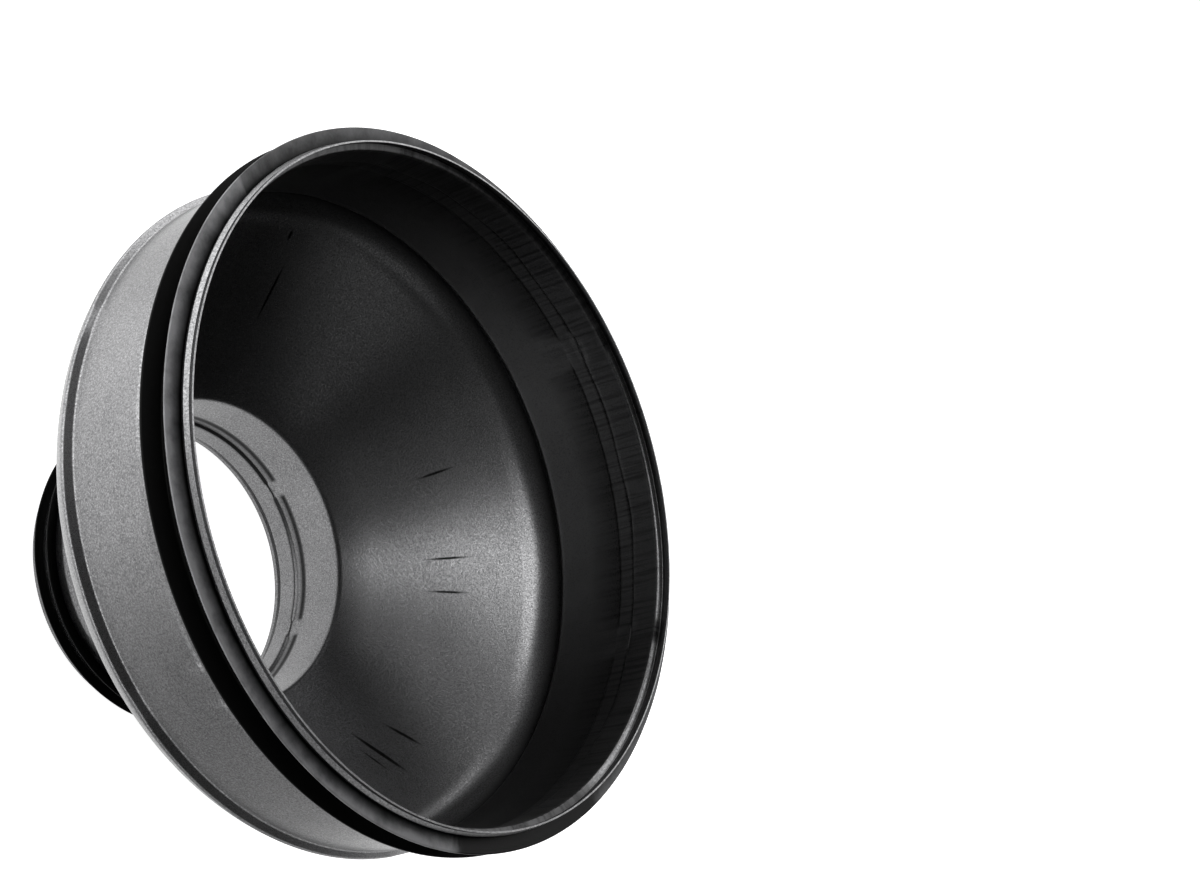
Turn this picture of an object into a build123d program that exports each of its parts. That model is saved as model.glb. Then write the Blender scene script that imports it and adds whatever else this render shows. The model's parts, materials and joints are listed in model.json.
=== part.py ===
"""Pressed steel duct reducer with a rubber lip seal and a steel strap on each spigot.

It stands on its narrow end. The origin is at the middle of that end, and +Z is the duct's axis,
towards the wide mouth. Millimetres.
"""

from build123d import *
import os
from math import cos, degrees, radians, sin, tan

# Sheet steel body
sheet = 0.6
press_bend = 0.3  # radius on the hollow side of each pressed bend
cone_angle = 43.92  # between the cone's wall and the axis
neck_bend = 4.0  # outside radius where the cone meets the narrow spigot
edge_inset = 0.5  # how far each straight cut edge lies inside the spigot's wall
edge_bead = 0.3  # how far the bead behind it stands out from that wall
edge_rise = 1.6  # length along the axis from the straight edge to the bead
bead_width = 1.2
flank_run = 0.7  # length along the axis of each flank of a seat

# Stop ridge between the wide spigot and the cone, and the rounded shoulder that joins it to the cone.
# The shoulder has three runs, each flatter than the one above it. The last is a little flatter than
# the cone, where the press held the sheet.
ridge_flank = 2.0  # straight part of the flank that a duct stops against
ridge_angle = 48.0  # between that flank and the axis
ridge_root_bend = 1.5  # outside radius where the flank meets the spigot
ridge_bend = 1.5  # outside radius of the crest
shoulder_length = 5.0  # from the ridge's corner to the next
shoulder_angle = 22.5  # between this run and the axis
shoulder_bend = 30.0  # outside radius where it meets the next run
haunch_length = 5.9
haunch_angle = 36.0
haunch_bend = 22.0
collar_length = 6.1
collar_angle = 47.5
collar_bend = 100.0

# Wide spigot, measured from its own end
large_diameter = 249.0
large_length = 55.9  # end to ridge
large_edge = 1.4  # straight cut edge
large_seat_depth = 2.05
large_seat_floor = 11.4
large_strip_drop = 0.5  # strip behind the seat, a little lower than the wall
large_strip_width = 7.2
large_ramp = 1.2

# Narrow spigot, measured from its own end
small_diameter = 124.2
small_length = 39.0  # end to the corner with the cone
small_edge = 1.7
small_seat_depth = 1.7
small_seat_floor = 8.3
small_strip_drop = 0.4
small_strip_width = 2.7
small_ramp = 2.2

# Rubber lip seals
seal_gap = 0.05  # between a seal and its seat
seal_end_gap = 0.5  # between a seal's base and the end of its seat
seal_base = 1.0
lip_root = 1.2
lip_tip = 0.9
large_lip_reach = 6.0  # how far the lips stand out beyond the spigot
large_front_lean = -1.2  # from root to tip along the axis, away from the spigot's end
large_back_lean = 0.4
small_lip_reach = 3.3
small_front_lean = 0.4
small_back_lean = 1.9

# Steel straps that hold the seals down
strap_gap = 0.05  # between a strap and the seal under it
strap_width = 4.4
strap_thickness = 0.5
strap_lap = 28.0  # length of the lapped ends
strap_clip = 1.3  # corners clipped off the free end
clinch_diameter = 2.8
clinch_height = 0.6
clinch_inset = 8.0  # from the free end
large_lap_angle = 108.0  # where each lap starts, about +Z from +X
small_lap_angle = 122.0

large_radius = large_diameter / 2
small_radius = small_diameter / 2
large_band = large_edge + edge_rise + bead_width  # end to seat
small_band = small_edge + edge_rise + bead_width
proud_bend = press_bend + sheet  # outside radius of a bend that stands out
sunk_bend = press_bend  # outside radius of a bend that turns in

# The flank and the shoulder meet at the ridge's corner, before the crest is rounded
ridge_crest_run = ridge_bend * tan(radians(ridge_angle + shoulder_angle) / 2)
ridge_root_run = ridge_root_bend * tan(radians(ridge_angle) / 2)
ridge_corner_reach = ridge_flank + ridge_crest_run + ridge_root_run
ridge_corner_radius = large_radius + ridge_corner_reach * sin(radians(ridge_angle))
ridge_corner_drop = ridge_corner_reach * cos(radians(ridge_angle))
shoulder_radius = ridge_corner_radius - shoulder_length * sin(radians(shoulder_angle))
shoulder_drop = shoulder_length * cos(radians(shoulder_angle))
haunch_radius = shoulder_radius - haunch_length * sin(radians(haunch_angle))
haunch_drop = haunch_length * cos(radians(haunch_angle))
collar_radius = haunch_radius - collar_length * sin(radians(collar_angle))
collar_drop = collar_length * cos(radians(collar_angle))
cone_height = (collar_radius - small_radius) / tan(radians(cone_angle))
collar_height = small_length + cone_height
haunch_height = collar_height + collar_drop
shoulder_height = haunch_height + haunch_drop
ridge_corner_height = shoulder_height + shoulder_drop
ridge_height = ridge_corner_height + ridge_corner_drop
height = ridge_height + large_length


def spigot_corners(radius, edge, band, seat_depth, seat_floor, strip_drop, strip_width, ramp):
    """Corners of a spigot's outside from its cut edge to its plain wall: radius, distance, bend."""
    seat_start = band + flank_run
    seat_end = seat_start + seat_floor
    strip_start = seat_end + flank_run
    strip_end = strip_start + strip_width
    return [
        (radius - edge_inset, 0, 0),
        (radius - edge_inset, edge, 0),
        (radius + edge_bead, edge + edge_rise, 0),
        (radius + edge_bead, band, proud_bend),
        (radius - seat_depth, seat_start, sunk_bend),
        (radius - seat_depth, seat_end, sunk_bend),
        (radius - strip_drop, strip_start, proud_bend),
        (radius - strip_drop, strip_end, 0),
        (radius, strip_end + ramp, 0),
    ]


def other_side(corners):
    """Corners of the sheet's inside: each is moved in by the sheet's thickness, and its bend with it."""
    points = [Vector(radius, z) for radius, z, bend in corners]
    runs = [(end - start).normalized() for start, end in zip(points, points[1:])]
    moved = []
    for i, (radius, z, bend) in enumerate(corners):
        before, after = runs[max(i - 1, 0)], runs[min(i, len(runs) - 1)]
        step = (before + after).rotate(Axis.Z, 90) * (sheet / (1 + before.dot(after)))
        stands_out = before.cross(after).Z > 0
        if bend:
            bend += -sheet if stands_out else sheet
        moved.append((radius + step.X, z + step.Y, bend))
    return moved


def end_plane(from_mouth, azimuth=0):
    """Half plane through the axis: x is the radius, y the distance from one end of the duct."""
    outward = Vector(cos(radians(azimuth)), sin(radians(azimuth)), 0)
    upward = Vector(0, 0, 1)
    if from_mouth:
        return Plane((0, 0, height), x_dir=outward, z_dir=upward.cross(outward))
    return Plane((0, 0, 0), x_dir=outward, z_dir=outward.cross(upward))


def lip_seal(from_mouth, seat_radius, seat_start, seat_floor, tip, front_lean, back_lean):
    """Rubber ring with a flat base and two lips that stand out beyond the spigot."""
    inside = seat_radius + seal_gap
    top = inside + seal_base
    front = seat_start + seal_end_gap
    back = seat_start + seat_floor - seal_end_gap
    taper = (lip_root - lip_tip) / 2
    tip_front = front + taper + front_lean
    tip_back = back - taper + back_lean
    with BuildPart() as seal:
        with BuildSketch(end_plane(from_mouth)):
            with BuildLine():
                Polyline(
                    (inside, front),
                    (top, front),
                    (tip, tip_front),
                    (tip, tip_front + lip_tip),
                    (top, front + lip_root),
                    (top, back - lip_root),
                    (tip, tip_back - lip_tip),
                    (tip, tip_back),
                    (top, back),
                    (inside, back),
                    close=True,
                )
            make_face()
        revolve(axis=Axis.Z)
    return seal


def lapped_strap(from_mouth, seat_radius, seat_start, seat_floor, lap_angle):
    """Steel band between the lips, its free end lapped over the other, clipped and clinched."""
    inside = seat_radius + seal_gap + seal_base + strap_gap
    lap_inside = inside + strap_thickness
    middle = seat_start + seat_floor / 2
    lap_plane = end_plane(from_mouth, lap_angle)
    clinch_plane = end_plane(from_mouth, lap_angle + degrees(clinch_inset / lap_inside))
    clinch_foot = clinch_plane.from_local_coords((lap_inside, middle))
    with BuildPart() as band:
        with BuildSketch(end_plane(from_mouth)):
            with Locations((inside + strap_thickness / 2, middle)):
                Rectangle(strap_thickness, strap_width)
        revolve(axis=Axis.Z)
        with BuildSketch(lap_plane):
            with Locations((lap_inside + strap_thickness / 2, middle)):
                Rectangle(strap_thickness, strap_width)
        revolve(axis=Axis.Z, revolution_arc=degrees(strap_lap / lap_inside))
        free_end = band.faces().sort_by_distance(
            lap_plane.from_local_coords((lap_inside + strap_thickness / 2, middle))
        )[0]
        chamfer(free_end.edges().filter_by(Axis(lap_plane.origin, lap_plane.x_dir)), strap_clip)
        with BuildSketch(Plane(clinch_foot, z_dir=clinch_plane.x_dir)):
            Circle(clinch_diameter / 2)
        extrude(amount=strap_thickness + clinch_height)
    return band


# Body: one sheet, drawn from the narrow end to the wide one
small_corners = spigot_corners(
    small_radius,
    small_edge,
    small_band,
    small_seat_depth,
    small_seat_floor,
    small_strip_drop,
    small_strip_width,
    small_ramp,
)
large_corners = spigot_corners(
    large_radius,
    large_edge,
    large_band,
    large_seat_depth,
    large_seat_floor,
    large_strip_drop,
    large_strip_width,
    large_ramp,
)
outside = small_corners + [
    (small_radius, small_length, neck_bend),
    (collar_radius, collar_height, collar_bend),
    (haunch_radius, haunch_height, haunch_bend),
    (shoulder_radius, shoulder_height, shoulder_bend),
    (ridge_corner_radius, ridge_corner_height, ridge_bend),
    (large_radius, ridge_height, ridge_root_bend),
]
outside += [(radius, height - distance, bend) for radius, distance, bend in reversed(large_corners)]

with BuildPart() as body:
    with BuildSketch(Plane.XZ):
        with BuildLine():
            sides = [
                FilletPolyline(
                    *[(radius, z) for radius, z, bend in corners],
                    radius=[bend for radius, z, bend in corners[1:-1]],
                )
                for corners in (outside, other_side(outside))
            ]
            Line(sides[0] @ 0, sides[1] @ 0)
            Line(sides[0] @ 1, sides[1] @ 1)
        make_face()
    revolve(axis=Axis.Z)

# Seals and straps: each sits on the floor of its spigot's seat
large_seat = (True, large_radius - large_seat_depth, large_band + flank_run, large_seat_floor)
small_seat = (False, small_radius - small_seat_depth, small_band + flank_run, small_seat_floor)
large_seal = lip_seal(*large_seat, large_radius + large_lip_reach, large_front_lean, large_back_lean)
small_seal = lip_seal(*small_seat, small_radius + small_lip_reach, small_front_lean, small_back_lean)
large_strap = lapped_strap(*large_seat, large_lap_angle)
small_strap = lapped_strap(*small_seat, small_lap_angle)

os.makedirs("parts", exist_ok=True)
body.part.label = "body"
large_seal.part.label = "large_seal"
small_seal.part.label = "small_seal"
large_strap.part.label = "large_strap"
small_strap.part.label = "small_strap"
export_step(body.part, "parts/body.step")
export_step(large_seal.part, "parts/large_seal.step")
export_step(small_seal.part, "parts/small_seal.step")
export_step(large_strap.part, "parts/large_strap.step")
export_step(small_strap.part, "parts/small_strap.step")
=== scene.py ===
"""Looks of a pressed steel duct reducer: galvanised body, rubber lip seals, rolled steel straps.

It stands on its narrow end with the wide mouth up. Sizes are in millimetres until a mesh is made.
Angles round the duct are in degrees, from the side that faces the camera (-Y) towards +X.
A pair named for a start, end, root or edge gives where a finish is nil and where it is full.
"""

import json
from math import ceil, cos, pi, radians, sin, tan

import bpy
import numpy as np
from mathutils import Matrix, Vector


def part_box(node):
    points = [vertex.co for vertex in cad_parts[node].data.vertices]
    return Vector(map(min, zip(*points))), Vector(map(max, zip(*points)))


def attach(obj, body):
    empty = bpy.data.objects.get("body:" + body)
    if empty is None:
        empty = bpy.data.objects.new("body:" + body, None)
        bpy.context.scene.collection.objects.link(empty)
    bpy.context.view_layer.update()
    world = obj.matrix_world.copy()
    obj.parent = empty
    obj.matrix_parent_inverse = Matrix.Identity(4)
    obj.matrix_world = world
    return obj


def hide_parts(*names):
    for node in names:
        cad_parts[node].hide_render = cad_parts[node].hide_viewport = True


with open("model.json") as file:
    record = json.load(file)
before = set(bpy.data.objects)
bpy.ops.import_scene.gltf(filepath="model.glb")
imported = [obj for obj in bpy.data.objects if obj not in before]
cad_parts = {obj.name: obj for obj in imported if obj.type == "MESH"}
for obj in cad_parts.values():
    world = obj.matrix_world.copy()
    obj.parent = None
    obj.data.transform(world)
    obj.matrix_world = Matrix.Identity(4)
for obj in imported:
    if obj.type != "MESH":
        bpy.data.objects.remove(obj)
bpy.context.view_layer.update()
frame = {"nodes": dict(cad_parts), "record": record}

mm = 0.001

# Body: its main sizes come from the frame, and its bends are as the sheet was pressed
spigots = {mount["name"]: mount["dims"] for mount in frame["record"]["mounts"]}
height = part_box("body")[1].z / mm
large_radius = spigots["large_spigot"]["r_mm"]
large_length = spigots["large_spigot"]["length_mm"]
small_radius = spigots["small_spigot"]["r_mm"]
small_length = spigots["small_spigot"]["length_mm"]
ridge_height = height - large_length
sheet = 0.6
press_bend = 0.3  # on the hollow side of each pressed bend
edge_inset = 0.5
edge_bead = 0.3
edge_rise = 1.6
bead_width = 1.2
flank_run = 0.7
neck_bend = 4.0
ridge_flank = 2.0
ridge_angle = 48.0
ridge_root_bend = 1.5
ridge_bend = 1.5
shoulder_runs = (  # from the ridge down: length, angle to the axis, bend at its foot
    (5.4, 21.0, 30.0),
    (6.4, 35.0, 19.0),
    (5.4, 49.5, 40.0),
)
large_seat = {"edge": 1.4, "depth": 2.05, "floor": 11.4, "drop": 0.5, "strip": 7.3, "ramp": 1.0}
small_seat = {"edge": 1.7, "depth": 1.7, "floor": 8.3, "drop": 0.4, "strip": 2.7, "ramp": 2.2}
for seat in (large_seat, small_seat):
    seat["start"] = seat["edge"] + edge_rise + bead_width + flank_run
    seat["end"] = seat["start"] + seat["floor"]
    seat["step"] = seat["end"] + flank_run / 2
    seat["strip_start"] = seat["end"] + flank_run
    seat["strip_end"] = seat["strip_start"] + seat["strip"]
    seat["ramp_middle"] = seat["strip_end"] + seat["ramp"] / 2
    seat["ramp_end"] = seat["strip_end"] + seat["ramp"]
seat_line_drop = 0.9  # from the middle of the large seat's step down to its line of painted shade
shaded_ring_lines = (  # lines of painted shade inside, at the foot of each ring: height, reach to each side, strength of the shade
    (height - large_seat["step"] - seat_line_drop, 0.8, 0.95),
    (height - large_seat["ramp_middle"], 0.7, 0.9),
    (small_seat["step"], 0.6, 0.35),
    (small_seat["ramp_middle"], 1.2, 0.85),
)

# Marks of the six-part tool that pressed the rings into the spigots
tool_parts = 6
first_tool_gap = -42.0  # angle of one of the gaps between the tool's parts
large_gap_width = 5.0
small_gap_width = 6.5
gap_edge = 0.9  # angle over which a ring runs out beside a gap
gap_easing = 2.2  # how far along the wall a ring is smoothed out in a gap
gap_easing_samples = 9
ridge_easing = 0.3  # share of that smoothing which reaches the ridge
rings_start = small_seat["start"], small_seat["start"] + 2.0  # of the smoothing, from either end of the duct
rings_end = 34.0, 30.0  # past the last ring
ring_wave = 0.55  # how far the ring behind the seat wanders along the axis
ring_wave_reach = 1.8
ring_waves = ((18, 0.5, 0.6), (11, 2.0, 0.4))  # waves a turn, phase, share

# Painted shade inside the wide spigot and its ridge, 0 to 1; the same marks also make the sheet rougher
inside_wall_shade = 0.65  # painted shade on the inside wall
inside_start = -0.1, 0.5  # from the seat's start
inside_end = large_length + 1.0, large_length - 1.0  # from the mouth
bead_shade = 0.85  # painted shade in the mouth's bead
bead_start = 0.0, 0.3  # from the mouth
bead_end = -0.6, -0.9  # from the seat's start
flank_shade = 0.72  # painted shade on the flank behind that bead, but for one side left unshaded
flank_shade_start = bead_end[::-1]
flank_shade_end = 0.5, 0.0  # from the seat's start
unshaded_angle = 150.0
unshaded_edge = 45.0, 55.0  # angles to each side of it
groove_shade = 1.0  # painted shade in the ridge's hollow side
groove_start = 0.0, 1.0  # below the ridge's root
groove_end = 11.0, 2.0

# Fine puckers where the wide spigot was drawn in, by distance from the mouth
pucker_start = 2.0, 6.0
pucker_end = 31.0, 20.0
outside_pucker = 0.3  # share of the puckers that shows outside

# Scratches inside the cone: angle, start and end from the mouth, width, and darkness, which spreads past 1
scratches = (
    (98.0, 83.0, 106.0, 2.2, 2.5),
    (95.0, 87.0, 100.0, 1.2, 1.4),
    (107.0, 86.0, 101.0, 1.8, 2.0),
    (151.2, 88.0, 103.0, 1.6, 1.6),
    (160.4, 87.0, 104.0, 1.6, 1.6),
    (183.2, 87.0, 101.0, 1.5, 1.8),
    (253.5, 82.0, 102.0, 1.5, 2.2),
    (255.6, 72.0, 76.0, 1.6, 1.8),
)
scratch_radius = 100.0  # of the cone about where they lie

# Rubber lip seals: sections as extruded, with rounded tips and roots
seal_gap = 0.05
seal_end_gap = 0.5
seal_base = 1.0
seal_base_bend = 0.2
lip_root = 1.2
lip_tip = 0.9
lip_tip_bend = 0.4
lip_root_bend = 0.5
large_leans = (-1.2, 0.4)  # of the front and the back lip, from root to tip, away from the spigot's end
small_leans = (0.4, 1.9)
lip_waves = ((5, 0.3, 0.5), (9, 1.7, 0.3), (23, 4.0, 0.2))  # waves a turn, phase, share
lip_wander = 0.16  # how far the front lip's tip wanders along the axis
back_lip_wander = -0.8  # share of that at the back lip, the other way
root_shade = 0.09, 0.15  # squared share of the lip's reach over which painted shade at its root gives way to the grey
sheen_angle = 0.0  # where the front lip's grey of dust and painted sheen is thick
sheen_edge = 95.0, 65.0  # angles to each side of it
thin_sheen = 0.45  # share of that thick grey which is left elsewhere
bare_angle = 81.0  # where the front lip's grey is taken off its outer part
bare_edge = 20.0, 16.0  # angles to each side of it
bare_root = 0.15, 0.35  # squared share of the lip's reach

# How finely the meshes are turned
steps_round = 360
arc_step = 22.0  # degrees
arc_pitch = 0.9
line_pitch = 0.5  # longest run between points at the foot of a ring
worked_pitch = 1.4  # where the sheet is worked
plain_pitch = 12.0
longest_run = 1.5  # in pitches
worked_margin = 3.0
seam_angle = -60.0  # where the turning starts and the body's chart is cut open
sharp_angle = 25.0

# Light table under the duct, lit from below. Distances and headings are from the duct's axis.
table_reach = 30000.0
table_drop = 0.1  # below the cut edge, so that the two don't touch
table_glow = 0.95, 3.5  # least and most
table_glow_heading = (-0.7, -0.7, 0.0)
table_glow_reach = 900.0
table_shades = (  # heading, how squarely a place lies on it at nil and at full shade, share of glow left
    ((0.766, -0.643, 0.0), (0.3, 1.0), 0.12),
    ((-0.98, 0.2, 0.0), (0.75, 0.98), 0.5),
)
table_shade_start = 110.0, 230.0
table_shade_end = 700.0, 250.0

# Soft panels of light: direction from the middle of the ridge, width and height in metres, watts
panel_distance = 1.2  # metres
panels = {
    "softbox": ((-0.455, -0.24, 0.857), (0.92, 0.55), 5.4),
    "back_panel": ((-0.15, 0.85, 0.5), (1.8, 0.78), 10.5),
    "left_panel": ((-0.87, 0.18, 0.46), (0.8, 0.5), 0.9),
    "right_panel": ((0.84, 0.0, 0.54), (0.8, 0.5), 0.22),
    "top_panel": ((-0.13, 0.52, 0.84), (0.5, 0.4), 1.6),
    "front_panel": ((0.2, -0.5, 0.84), (0.6, 0.5), 0.12),
}

# Studio round them: a horizon that is bright on the left, under a dim sky
horizon_glow = 4.0, 0.2  # on the left and elsewhere
horizon_left = -0.75, -0.25  # share of a direction along X over which one turns into the other
horizon_top = 0.1, 0.24  # share of a direction along Z over which the horizon turns into sky
sky_glow = 0.05

# Camera: where the photograph was taken from, rolled so that the duct's axis lies along the image
photo_width = 1200
focal_pixels = 1600
sensor_width = 36.0
camera_place = Vector((0.0, -446.4, 521.4))
camera_heading = 0.373  # degrees from +Y towards +X
camera_drop = 33.593  # degrees below level
camera_roll = 73.341
camera_clip = 10.0  # nearest distance that it sees


def add_node(tree, kind, inputs, **settings):
    """Adds a shader node: settings are its own, and inputs give sockets a value or a link."""
    node = tree.nodes.new("ShaderNode" + kind)
    for name, value in settings.items():
        setattr(node, name, value)
    for name, value in inputs.items():
        if isinstance(value, bpy.types.NodeSocket):
            tree.links.new(value, node.inputs[name])
        else:
            node.inputs[name].default_value = value
    return node


def linear(hex_colour):
    """Linear colour of an sRGB hex value such as "8a8c8e"."""
    shares = [int(hex_colour[i:i + 2], 16) / 255 for i in (0, 2, 4)]
    return [s / 12.92 if s <= 0.04045 else ((s + 0.055) / 1.055) ** 2.4 for s in shares] + [1.0]


def new_material(name):
    """An empty node material and its tree."""
    material = bpy.data.materials.new(name)
    material.use_nodes = True
    material.node_tree.nodes.clear()
    return material, material.node_tree


# Materials

grain_size = 0.6  # crystals of the rolled zinc, drawn coarse enough to show
grain_range = 0.3, 0.7  # where most of the grain's noise lies
grain_depth = 0.03
cloud_size = 45.0
cloud_share = 0.25  # of the clouds in the tone, beside the grain
pucker_pitch = 0.8  # degrees between the fine folds where the sheet is drawn in
pucker_breaks = 9.0  # how often the folds change on the way round the sheet's section
pucker_depth = 0.04
# painted shade in the puckers' folds
pucker_shade = 0.18
dull_roughness = 0.2  # roughness added where the sheet carries painted shade
dust_and_sheen_patch = 9.0  # patches of the grey dust and painted sheen on the rubber
pore_size = 0.6  # of the rubber's skin, drawn coarse enough to show
pore_depth = 0.02
rolling_pitch = 0.25  # between the rolling lines of the strip, drawn coarse enough to show
rolling_length = 50.0  # of one such line
rolling_depth = 0.004
acrylic_cast = 300.0  # size of the faint clouds in the acrylic


def galvanised_steel(marks):
    """Zinc-coated sheet, skin-rolled and pressed: a satin grey metal with a fine sparkling grain.
    It is finely puckered where it was drawn in, and carries painted shade in those folds and on much of its
    inside, where it is also rougher; it is dark where it was scratched.
    Each mark is a scratch's middle, half size and darkness on the body's chart."""
    material, tree = new_material("galvanised_steel")
    place = add_node(tree, "TexCoord", {}).outputs["Object"]
    chart = add_node(tree, "UVMap", {}, uv_map="sheet").outputs["UV"]
    puckered = add_node(tree, "Attribute", {}, attribute_name="pucker").outputs["Fac"]
    sheet_shade = add_node(tree, "Attribute", {}, attribute_name="dull_and_shade").outputs["Fac"]
    grain = add_node(tree, "TexNoise", {"Vector": place, "Scale": 1 / (grain_size * mm), "Detail": 2.0,
                                        "Roughness": 0.65}).outputs["Fac"]
    cloud = add_node(tree, "TexNoise", {"Vector": place, "Scale": 1 / (cloud_size * mm), "Detail": 4.0,
                                        "Roughness": 0.6}).outputs["Fac"]
    speckle = add_node(tree, "MapRange", {"Value": grain, "From Min": grain_range[0],
                                          "From Max": grain_range[1], "To Min": 0.8,
                                          "To Max": 1.2}).outputs["Result"]
    sheet_shade = add_node(tree, "Math", {0: sheet_shade, 1: speckle}, operation="MULTIPLY").outputs[0]
    turns = add_node(tree, "Mapping", {"Vector": chart, "Scale": (360 / pucker_pitch, pucker_breaks, 1.0)})
    fold = add_node(tree, "TexNoise", {"Vector": turns.outputs["Vector"], "Scale": 1.0, "Detail": 2.0},
                    noise_dimensions="2D").outputs["Fac"]
    fold = add_node(tree, "MapRange", {"Value": fold, "From Min": 0.44, "From Max": 0.72}).outputs["Result"]
    fold = add_node(tree, "Math", {0: fold, 1: puckered}, operation="MULTIPLY").outputs[0]

    tone = add_node(tree, "Math", {0: cloud, 1: cloud_share, 2: grain}, operation="MULTIPLY_ADD").outputs[0]
    colour = add_node(tree, "ValToRGB", {"Fac": tone})
    colour.color_ramp.elements[0].position = 0.42
    colour.color_ramp.elements[0].color = linear("575758")
    colour.color_ramp.elements[1].position = 0.83
    colour.color_ramp.elements[1].color = linear("8e8e8f")
    # Painted shade in the folds and where the body's inside is shaded, then the scratches' own darkening
    shade_and_scratches = add_node(tree, "Math", {0: fold, 1: pucker_shade, 2: sheet_shade},
                    operation="MULTIPLY_ADD").outputs[0]
    for middle, half_size, darkness in marks:
        spot = add_node(tree, "Mapping", {"Vector": chart, "Location": middle, "Scale": half_size},
                        vector_type="TEXTURE").outputs["Vector"]
        line = add_node(tree, "TexGradient", {"Vector": spot}, gradient_type="SPHERICAL").outputs["Fac"]
        shade_and_scratches = add_node(tree, "Math", {0: line, 1: darkness, 2: shade_and_scratches}, operation="MULTIPLY_ADD").outputs[0]
    shade_and_scratches = add_node(tree, "MapRange", {"Value": shade_and_scratches, "To Max": 0.97}).outputs["Result"]
    colour = add_node(tree, "MixRGB", {"Fac": shade_and_scratches, "Color1": colour.outputs["Color"],
                                       "Color2": linear("060606")})

    roughness = add_node(tree, "MapRange", {"Value": grain, "From Min": grain_range[0],
                                            "From Max": grain_range[1], "To Min": 0.37,
                                            "To Max": 0.25}).outputs["Result"]
    roughness = add_node(tree, "Math", {0: sheet_shade, 1: dull_roughness, 2: roughness},
                         operation="MULTIPLY_ADD").outputs[0]
    fold_bump = add_node(tree, "Bump", {"Height": fold, "Strength": 1.0, "Distance": pucker_depth * mm},
                         invert=True)
    bump = add_node(tree, "Bump", {"Height": grain, "Strength": 1.0, "Distance": grain_depth * mm,
                                   "Normal": fold_bump.outputs["Normal"]})
    shader = add_node(tree, "BsdfPrincipled", {"Base Color": colour.outputs["Color"], "Metallic": 1.0,
                                               "Roughness": roughness, "Normal": bump.outputs["Normal"]})
    add_node(tree, "OutputMaterial", {"Surface": shader.outputs["BSDF"]})
    return material


def epdm_rubber():
    """Extruded EPDM rubber: black with a faint sheen, and on the front lip a patchy grey of dust and painted
    sheen, which shines a little more."""
    material, tree = new_material("epdm_rubber")
    place = add_node(tree, "TexCoord", {}).outputs["Object"]
    dust_and_sheen = add_node(tree, "Attribute", {}, attribute_name="dust_and_sheen").outputs["Fac"]
    patches = add_node(tree, "TexNoise", {"Vector": place, "Scale": 1 / (dust_and_sheen_patch * mm), "Detail": 5.0,
                                          "Roughness": 0.65}).outputs["Fac"]
    dust_and_sheen = add_node(tree, "Math", {0: dust_and_sheen, 1: patches}, operation="MULTIPLY").outputs[0]
    colour = add_node(tree, "ValToRGB", {"Fac": dust_and_sheen})
    colour.color_ramp.elements[0].position = 0.05
    colour.color_ramp.elements[0].color = linear("101010")
    colour.color_ramp.elements[1].position = 0.5
    colour.color_ramp.elements[1].color = linear("78787a")
    sheen = add_node(tree, "MapRange", {"Value": dust_and_sheen, "From Max": 0.5, "To Min": 0.06, "To Max": 0.3})
    pores = add_node(tree, "TexNoise", {"Vector": place, "Scale": 1 / (pore_size * mm), "Detail": 2.0})
    bump = add_node(tree, "Bump", {"Height": pores.outputs["Fac"], "Strength": 1.0,
                                   "Distance": pore_depth * mm})
    shader = add_node(tree, "BsdfPrincipled", {"Base Color": colour.outputs["Color"], "Roughness": 0.42,
                                               "Specular IOR Level": sheen.outputs["Result"],
                                               "Normal": bump.outputs["Normal"]})
    add_node(tree, "OutputMaterial", {"Surface": shader.outputs["BSDF"]})
    return material


def rolled_steel_strip():
    """Bright cold-rolled strip: smooth metal with faint rolling lines along its length."""
    material, tree = new_material("rolled_steel_strip")
    place = add_node(tree, "TexCoord", {}).outputs["Object"]
    along = 1 / (rolling_length * mm)
    lines = add_node(tree, "Mapping", {"Vector": place, "Scale": (along, along, 1 / (rolling_pitch * mm))})
    rolling = add_node(tree, "TexNoise", {"Vector": lines.outputs["Vector"], "Scale": 1.0, "Detail": 3.0})
    roughness = add_node(tree, "MapRange", {"Value": rolling.outputs["Fac"], "To Min": 0.16, "To Max": 0.32})
    bump = add_node(tree, "Bump", {"Height": rolling.outputs["Fac"], "Strength": 1.0,
                                   "Distance": rolling_depth * mm})
    shader = add_node(tree, "BsdfPrincipled", {"Base Color": linear("b4b5b7"), "Metallic": 1.0,
                                               "Roughness": roughness.outputs["Result"],
                                               "Normal": bump.outputs["Normal"]})
    add_node(tree, "OutputMaterial", {"Surface": shader.outputs["BSDF"]})
    return material


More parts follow.
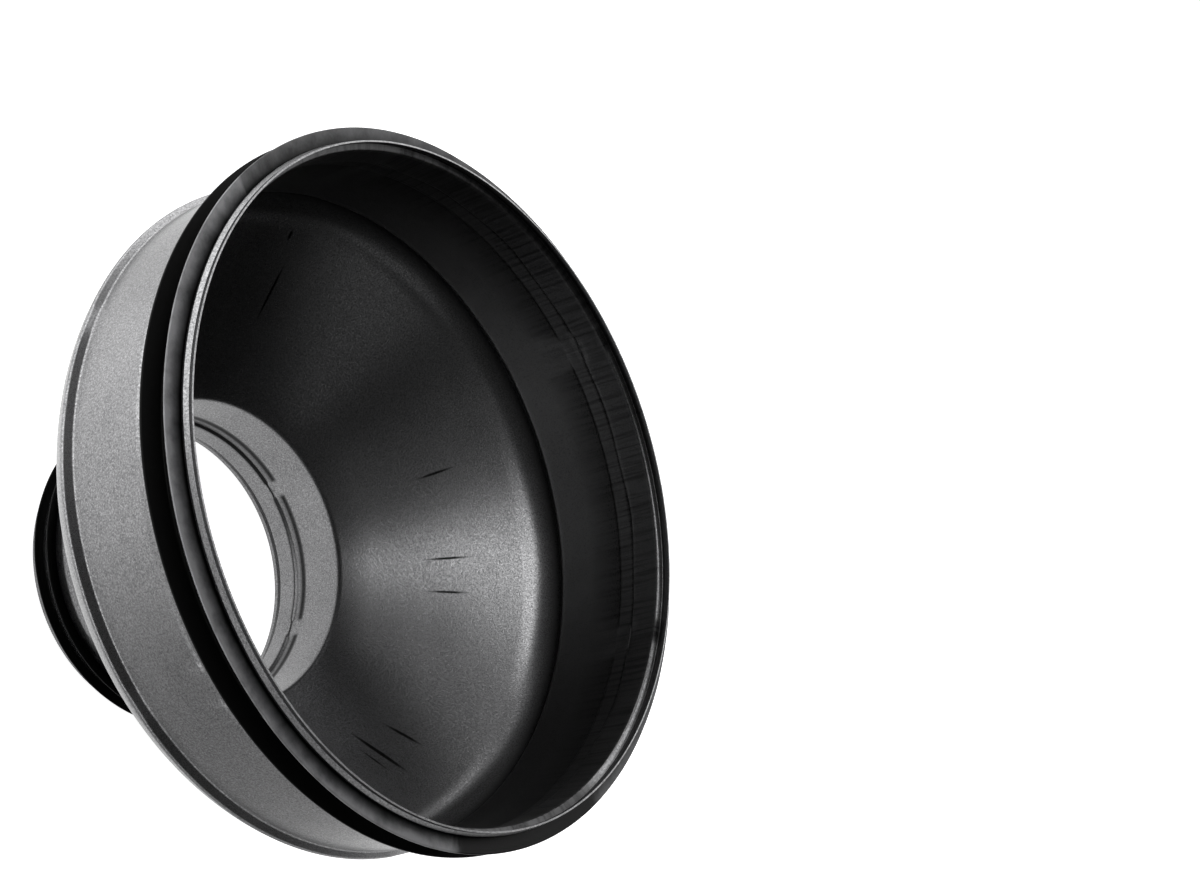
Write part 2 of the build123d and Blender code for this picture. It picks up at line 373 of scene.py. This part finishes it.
def white_acrylic():
    """Top of a light table: matt white acrylic lit from below, so it stays white under the object. It glows
    more towards the left of its front, and less in two soft patches that show in the steel's outside."""
    material, tree = new_material("white_acrylic")
    place = add_node(tree, "TexCoord", {}).outputs["Object"]
    cast = add_node(tree, "TexNoise", {"Vector": place, "Scale": 1 / (acrylic_cast * mm), "Detail": 2.0})
    colour = add_node(tree, "ValToRGB", {"Fac": cast.outputs["Fac"]})
    colour.color_ramp.elements[0].color = linear("ececec")
    colour.color_ramp.elements[1].color = linear("f2f2f2")
    across = add_node(tree, "VectorMath", {0: place, 1: table_glow_heading}, operation="DOT_PRODUCT")
    glow = add_node(tree, "MapRange", {"Value": across.outputs["Value"], "From Max": table_glow_reach * mm,
                                       "To Min": table_glow[0], "To Max": table_glow[1]},
                    interpolation_type="SMOOTHSTEP").outputs["Result"]
    heading = add_node(tree, "VectorMath", {0: place}, operation="NORMALIZE").outputs["Vector"]
    away = add_node(tree, "VectorMath", {0: place}, operation="LENGTH").outputs["Value"]
    start, end = [[distance * mm for distance in edge] for edge in (table_shade_start, table_shade_end)]
    for shade_heading, shade_edge, least in table_shades:
        aside = add_node(tree, "VectorMath", {0: heading, 1: shade_heading}, operation="DOT_PRODUCT")
        shade = 1.0
        for value, (nil, full) in ((aside.outputs["Value"], shade_edge), (away, start), (away, end)):
            share = add_node(tree, "MapRange", {"Value": value, "From Min": nil, "From Max": full},
                             interpolation_type="SMOOTHSTEP").outputs["Result"]
            shade = add_node(tree, "Math", {0: share, 1: shade}, operation="MULTIPLY").outputs[0]
        lit = add_node(tree, "MapRange", {"Value": shade, "To Min": 1.0, "To Max": least}).outputs["Result"]
        glow = add_node(tree, "Math", {0: glow, 1: lit}, operation="MULTIPLY").outputs[0]
    shader = add_node(tree, "BsdfPrincipled", {"Base Color": colour.outputs["Color"], "Roughness": 0.9,
                                               "Specular IOR Level": 0.1, "Emission Color": linear("ffffff"),
                                               "Emission Strength": glow})
    add_node(tree, "OutputMaterial", {"Surface": shader.outputs["BSDF"]})
    return material


# Outlines

def rounded(corners, closed=False):
    """Points through (radius, height, bend) corners, each bend drawn as an arc."""
    points = []
    last = len(corners) - 1
    for i, (radius, z, bend) in enumerate(corners):
        corner = Vector((radius, z))
        if bend == 0 or (not closed and i in (0, last)):
            points.append(corner)
            continue
        back = (Vector(corners[i - 1][:2]) - corner).normalized()
        ahead = (Vector(corners[(i + 1) % len(corners)][:2]) - corner).normalized()
        turn = pi - back.angle(ahead)
        reach = bend * tan(turn / 2)
        middle = corner + (back + ahead).normalized() * bend / cos(turn / 2)
        spokes = corner + back * reach - middle, corner + ahead * reach - middle
        steps = max(ceil(turn / radians(arc_step)), ceil(turn * bend / arc_pitch))
        for step in range(steps + 1):
            share = step / steps
            spoke = spokes[0] * sin((1 - share) * turn) + spokes[1] * sin(share * turn)
            points.append(middle + spoke / sin(turn))
    return np.array(points)


def spaced(points, pitch):
    """The same outline with points added along it, about as far apart as pitch says at each height."""
    filled = [points[0]]
    for start, end in zip(points, points[1:]):
        ahead = (end - start) / np.hypot(*(end - start))
        while np.hypot(*(end - filled[-1])) > longest_run * pitch(filled[-1][1]):
            filled.append(filled[-1] + ahead * pitch(filled[-1][1]))
        filled.append(end)
    return np.array(filled)


def mitres(points):
    """At each point, the outward step that moves the runs on both its sides by one unit."""
    runs = np.diff(points, axis=0)
    normals = np.stack([runs[:, 1], -runs[:, 0]], axis=1) / np.hypot(*runs.T)[:, None]
    both = np.vstack([normals[:1], normals]) + np.vstack([normals, normals[-1:]])
    return 2 * both / (both ** 2).sum(axis=1, keepdims=True)


def waves(angles, parts):
    """Sum of waves round the duct, each given as waves a turn, phase and share."""
    return sum(share * np.sin(count * np.radians(angles) + phase) for count, phase, share in parts)


def ease(value, start, end):
    """Smooth step from 0 at start to 1 at end."""
    share = np.clip((value - start) / (end - start), 0, 1)
    return share * share * (3 - 2 * share)


# Meshes

angles = seam_angle + np.arange(steps_round) * 360 / steps_round


def turned_piece(name, radius, z, material, node):
    """Closed mesh from rows of radius and height round the duct, in place of a node of the frame."""
    rows = len(radius)
    turn = np.radians(angles)
    points = np.stack([radius * np.sin(turn), -radius * np.cos(turn), z], axis=-1) * mm
    row, step = np.meshgrid(np.arange(rows), np.arange(steps_round), indexing="ij")
    next_row = (row + 1) % rows
    next_step = (step + 1) % steps_round
    corners = [(row, step), (row, next_step), (next_row, next_step), (next_row, step)]
    quads = np.stack([i * steps_round + j for i, j in corners], axis=-1).reshape(-1, 4)
    mesh = bpy.data.meshes.new(name)
    mesh.from_pydata(points.reshape(-1, 3).tolist(), [], quads.tolist())
    mesh.update()
    mesh.shade_smooth()
    mesh.set_sharp_from_angle(angle=radians(sharp_angle))
    mesh.materials.append(material)
    piece = bpy.data.objects.new(name, mesh)
    bpy.context.scene.collection.objects.link(piece)
    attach(piece, "root")
    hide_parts(node)
    return piece


def add_chart(piece, run):
    """Unrolls a turned piece into a chart: across is the turn, up is the run along its outline."""
    rows = len(run)
    across = np.arange(steps_round) / steps_round
    up = np.append(run, 1.0)
    low = np.repeat(up[:-1], steps_round)
    high = np.repeat(up[1:], steps_round)
    left = np.tile(across, rows)
    right = left + 1 / steps_round
    chart = np.stack([left, low, right, low, right, high, left, high], axis=1)
    piece.data.uv_layers.new(name="sheet").uv.foreach_set("vector", chart.astype(np.float32).ravel())


def add_attribute(piece, name, values):
    """Gives each point of a turned piece a value that its material reads."""
    attribute = piece.data.attributes.new(name, "FLOAT", "POINT")
    attribute.data.foreach_set("value", values.ravel().astype(np.float32))


def spigot_corners(radius, seat):
    """A spigot's outside from its cut edge to its plain wall: radius, distance from the end, bend."""
    return [
        (radius - edge_inset, 0, 0),
        (radius - edge_inset, seat["edge"], 0),
        (radius + edge_bead, seat["edge"] + edge_rise, 0),
        (radius + edge_bead, seat["start"] - flank_run, press_bend + sheet),
        (radius - seat["depth"], seat["start"], press_bend),
        (radius - seat["depth"], seat["end"], press_bend),
        (radius - seat["drop"], seat["strip_start"], press_bend + sheet),
        (radius - seat["drop"], seat["strip_end"], 0),
        (radius, seat["ramp_end"], 0),
    ]


def tool_gaps(width):
    """How far each angle lies in one of the gaps between the pressing tool's parts, 0 to 1."""
    pitch = 360 / tool_parts
    off = np.abs((angles - first_tool_gap + pitch / 2) % pitch - pitch / 2)
    return 1 - ease(off, width / 2 - gap_edge, width / 2 + gap_edge)


def body_outline():
    """Outside of the sheet from the narrow end to the wide one."""
    flank = radians(ridge_angle)
    crest = radians(ridge_angle + shoulder_runs[0][1])
    reach = ridge_flank + ridge_bend * tan(crest / 2) + ridge_root_bend * tan(flank / 2)
    corner = Vector((large_radius + reach * sin(flank), ridge_height - reach * cos(flank)))
    shoulder = [(*corner, ridge_bend)]
    for length, angle, bend in shoulder_runs:
        corner = corner - length * Vector((sin(radians(angle)), cos(radians(angle))))
        shoulder.append((*corner, bend))
    corners = spigot_corners(small_radius, small_seat) + [(small_radius, small_length, neck_bend)]
    corners += reversed(shoulder)
    corners += [(large_radius, ridge_height, ridge_root_bend)]
    corners += [(r, height - d, bend) for r, d, bend in reversed(spigot_corners(large_radius, large_seat))]
    small_worked = small_seat["ramp_end"] + worked_margin
    large_worked = height - large_seat["ramp_end"] - worked_margin

    def pitch(z):
        """How far apart the outline's points are at a height."""
        if any(abs(z - middle) < reach + line_pitch for middle, reach, line_shade in shaded_ring_lines):
            return line_pitch
        worked = z < small_worked or z > large_worked or abs(z - ridge_height) < worked_margin
        return worked_pitch if worked else plain_pitch

    return spaced(rounded(corners), pitch)


def chart_run(sides):
    """Share of the way round the sheet's section at each row: up the outside, then down the inside."""
    loop = np.vstack([sides[0], sides[1][::-1], sides[0][:1]])
    run = np.concatenate([[0], np.cumsum(np.hypot(*np.diff(loop, axis=0).T))])
    return run[:-1] / run[-1]


def scratch_marks(sides):
    """Each scratch as a middle and half size on the body's chart, and a darkness."""
    inside_run = chart_run(sides)[len(sides[0]):]
    from_mouth = height - sides[1][::-1, 1]
    marks = []
    for angle, start, end, width, darkness in scratches:
        across = (angle - seam_angle) % 360 / 360
        up = np.interp((start + end) / 2, from_mouth, inside_run)
        half_turn = width / 2 / (2 * pi * scratch_radius)
        half_run = np.interp(end, from_mouth, inside_run) - up
        marks.append(((across, up, 0), (half_turn, half_run, 1), darkness))
    return marks


def body_shade_and_dullness(z, gaps):
    """Painted shade on the body's inside at each height and angle, 0 to 1, which also roughens it: on the
    wall, in the bead, on the flank, in the ridge's hollow and along the rings.
    """
    from_mouth = height - z
    from_seat = from_mouth - large_seat["start"]
    below_ridge = from_mouth - large_length
    wall_shade = inside_wall_shade * ease(from_seat, *inside_start) * ease(from_mouth, *inside_end)
    bead_zone_shade = bead_shade * ease(from_mouth, *bead_start) * ease(from_seat, *bead_end)
    groove_zone_shade = groove_shade * ease(below_ridge, *groove_start) * ease(below_ridge, *groove_end)
    dull_and_shade = np.maximum(np.maximum(wall_shade, bead_zone_shade), groove_zone_shade)[:, None]
    flank = ease(from_seat, *flank_shade_start) * ease(from_seat, *flank_shade_end)
    flank_zone_shade = flank_shade * ease(np.abs(angles - unshaded_angle), *unshaded_edge)
    dull_and_shade = np.maximum(dull_and_shade, flank[:, None] * np.maximum(flank_zone_shade, bead_shade * gaps))
    for middle, reach, line_shade in shaded_ring_lines:
        line = 1 - ease(np.abs(z - middle), reach / 2, reach + line_pitch)
        dull_and_shade = np.maximum(dull_and_shade, line_shade * line[:, None] * (1 - gaps))
    return dull_and_shade


def make_body(sides, material):
    """Pressed sheet: both its skins and cut edges, with the rings run out at the tool's gaps."""
    radius, z = sides[0].T
    from_mouth = height - z
    from_end = np.minimum(z, from_mouth)
    offsets = np.linspace(-gap_easing, gap_easing, gap_easing_samples)
    eased = np.mean([np.interp(z + off, z, radius) for off in offsets], axis=0)
    ringed = ease(from_end, *rings_start) * ease(from_end, *rings_end)
    crest = np.abs(z - ridge_height) < 2 * gap_easing
    easing = (eased - radius) * np.where(crest, ridge_easing, ringed)
    gaps = np.where((z < height / 2)[:, None], tool_gaps(small_gap_width), tool_gaps(large_gap_width))
    change = easing[:, None] * gaps
    ring_share = np.exp(-((from_mouth - large_seat["step"]) / ring_wave_reach) ** 2)
    wander = np.outer(ring_share, ring_wave * waves(angles, ring_waves))
    outer, inner = [(side[:, :1] + change, side[:, 1:] + wander) for side in sides]
    piece = turned_piece(
        "pressed_body",
        np.vstack([outer[0], inner[0][::-1]]),
        np.vstack([outer[1], inner[1][::-1]]),
        material,
        "body",
    )
    add_chart(piece, chart_run(sides))
    drawn = ease(from_mouth, *pucker_start) * ease(from_mouth, *pucker_end)
    drawn = np.repeat(drawn[:, None], steps_round, axis=1)
    # Painted shade on the body's inside, which its material also makes rougher
    dull_and_shade = body_shade_and_dullness(z, gaps)
    add_attribute(piece, "pucker", np.vstack([outside_pucker * drawn, drawn[::-1]]))
    add_attribute(piece, "dull_and_shade", np.vstack([np.zeros_like(dull_and_shade), dull_and_shade[::-1]]))


def make_seal(name, node, seat, spigot_radius, leans, from_mouth, material):
    """Rubber ring with a flat base and two lips, its tips wandering a little along the axis."""
    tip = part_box(node)[1].x / mm
    bottom = spigot_radius - seat["depth"] + seal_gap
    top = bottom + seal_base
    front = seat["start"] + seal_end_gap
    back = seat["end"] - seal_end_gap
    taper = (lip_root - lip_tip) / 2
    tip_front = front + taper + leans[0]
    tip_back = back - taper + leans[1]
    corners = [
        (bottom, front, seal_base_bend),
        (top, front, lip_root_bend),
        (tip, tip_front, lip_tip_bend),
        (tip, tip_front + lip_tip, lip_tip_bend),
        (top, front + lip_root, lip_root_bend),
        (top, back - lip_root, lip_root_bend),
        (tip, tip_back - lip_tip, lip_tip_bend),
        (tip, tip_back, lip_tip_bend),
        (top, back, lip_root_bend),
        (bottom, back, seal_base_bend),
    ]
    section = rounded(corners, closed=True)
    radius, along = section.T
    reach = np.clip((radius - top) / (tip - top), 0, 1) ** 2
    lip_share = np.where(along < (front + back) / 2, 1.0, back_lip_wander)
    wander = np.outer(reach * lip_share, lip_wander * waves(angles, lip_waves))
    # Painted shade at the front lip's root, then a grey of dust and painted sheen on its face, thick on one
    # side, thinner elsewhere and taken off its outer part on another
    dust_and_sheen = ease(along, front + lip_root, front + leans[0]) * ease(reach, *root_shade)
    thick = thin_sheen + (1 - thin_sheen) * ease(np.abs(angles - sheen_angle), *sheen_edge)
    bare = ease(np.abs(angles - bare_angle), *bare_edge)
    dust_and_sheen = dust_and_sheen[:, None] * thick * (1 - np.outer(ease(reach, *bare_root), bare))
    along = along[:, None] + wander
    radius = np.repeat(radius[:, None], steps_round, axis=1)
    if from_mouth:
        radius, along, dust_and_sheen = radius[::-1], height - along[::-1], dust_and_sheen[::-1]
    piece = turned_piece(name, radius, along, material, node)
    add_attribute(piece, "dust_and_sheen", dust_and_sheen)


def dress_straps(material):
    """Steel straps: the frame's own bands, with their laps and clinches, in rolled steel."""
    for node in ("large_strap", "small_strap"):
        strap = frame["nodes"][node]
        strap.data.materials.clear()
        strap.data.materials.append(material)


# Stage, light and camera

def make_floor():
    """Wide light table that the object stands on."""
    half = table_reach * mm
    corners = [(-half, -half, 0), (half, -half, 0), (half, half, 0), (-half, half, 0)]
    mesh = bpy.data.meshes.new("floor")
    mesh.from_pydata(corners, [], [(0, 1, 2, 3)])
    mesh.materials.append(white_acrylic())
    floor = bpy.data.objects.new("floor", mesh)
    floor.location.z = -table_drop * mm
    bpy.context.scene.collection.objects.link(floor)


def add_panel(name, direction, size, power):
    """A panel of light that stands off in a direction from the middle of the ridge and points back at it."""
    light = bpy.data.lights.new(name, "AREA")
    light.shape = "RECTANGLE"
    light.size, light.size_y = size
    light.energy = power
    panel = bpy.data.objects.new(name, light)
    away = Vector(direction).normalized()
    panel.location = Vector((0, 0, ridge_height * mm)) + away * panel_distance
    panel.rotation_mode = "QUATERNION"
    panel.rotation_quaternion = away.to_track_quat("Z", "Y")
    bpy.context.scene.collection.objects.link(panel)


def make_lights():
    """Soft panels whose reflections model the steel, and a plain studio round them."""
    for name, (direction, size, power) in panels.items():
        add_panel(name, direction, size, power)
    world = bpy.data.worlds.new("studio")
    world.use_nodes = True
    bpy.context.scene.world = world
    tree = world.node_tree
    tree.nodes.clear()
    direction = add_node(tree, "TexCoord", {}).outputs["Generated"]
    parts = add_node(tree, "SeparateXYZ", {0: direction}).outputs
    horizon = add_node(tree, "MapRange", {"Value": parts["X"], "From Min": horizon_left[0],
                                          "From Max": horizon_left[1], "To Min": horizon_glow[0],
                                          "To Max": horizon_glow[1]},
                       interpolation_type="SMOOTHSTEP").outputs["Result"]
    glow = add_node(tree, "MapRange", {"Value": parts["Z"], "From Min": horizon_top[0],
                                       "From Max": horizon_top[1], "To Min": horizon, "To Max": sky_glow},
                    interpolation_type="SMOOTHSTEP").outputs["Result"]
    studio = add_node(tree, "Background", {"Color": linear("ffffff"), "Strength": glow})
    add_node(tree, "OutputWorld", {"Surface": studio.outputs["Background"]})


def make_camera():
    """The photograph's camera: level by its heading, tipped down, then rolled."""
    heading = radians(camera_heading)
    drop = radians(camera_drop)
    roll = radians(camera_roll)
    ahead = Vector((sin(heading) * cos(drop), cos(heading) * cos(drop), -sin(drop)))
    level = ahead.cross(Vector((0, 0, 1))).normalized()
    upright = level.cross(ahead)
    right = level * cos(roll) + upright * sin(roll)
    up = upright * cos(roll) - level * sin(roll)
    lens = bpy.data.cameras.new("camera")
    lens.sensor_width = sensor_width
    lens.lens = sensor_width * focal_pixels / photo_width
    lens.clip_start = camera_clip * mm
    camera = bpy.data.objects.new("camera", lens)
    turned = Matrix((right, up, -ahead)).transposed().to_4x4()
    camera.matrix_world = Matrix.Translation(camera_place * mm) @ turned
    bpy.context.scene.collection.objects.link(camera)
    bpy.context.scene.camera = camera


outside = body_outline()
body_sides = outside, outside - sheet * mitres(outside)
rubber = epdm_rubber()
make_body(body_sides, galvanised_steel(scratch_marks(body_sides)))
make_seal("large_lip_seal", "large_seal", large_seat, large_radius, large_leans, True, rubber)
make_seal("small_lip_seal", "small_seal", small_seat, small_radius, small_leans, False, rubber)
dress_straps(rolled_steel_strip())
make_floor()
make_lights()
make_camera()
bpy.context.scene.view_settings.view_transform = "Standard"
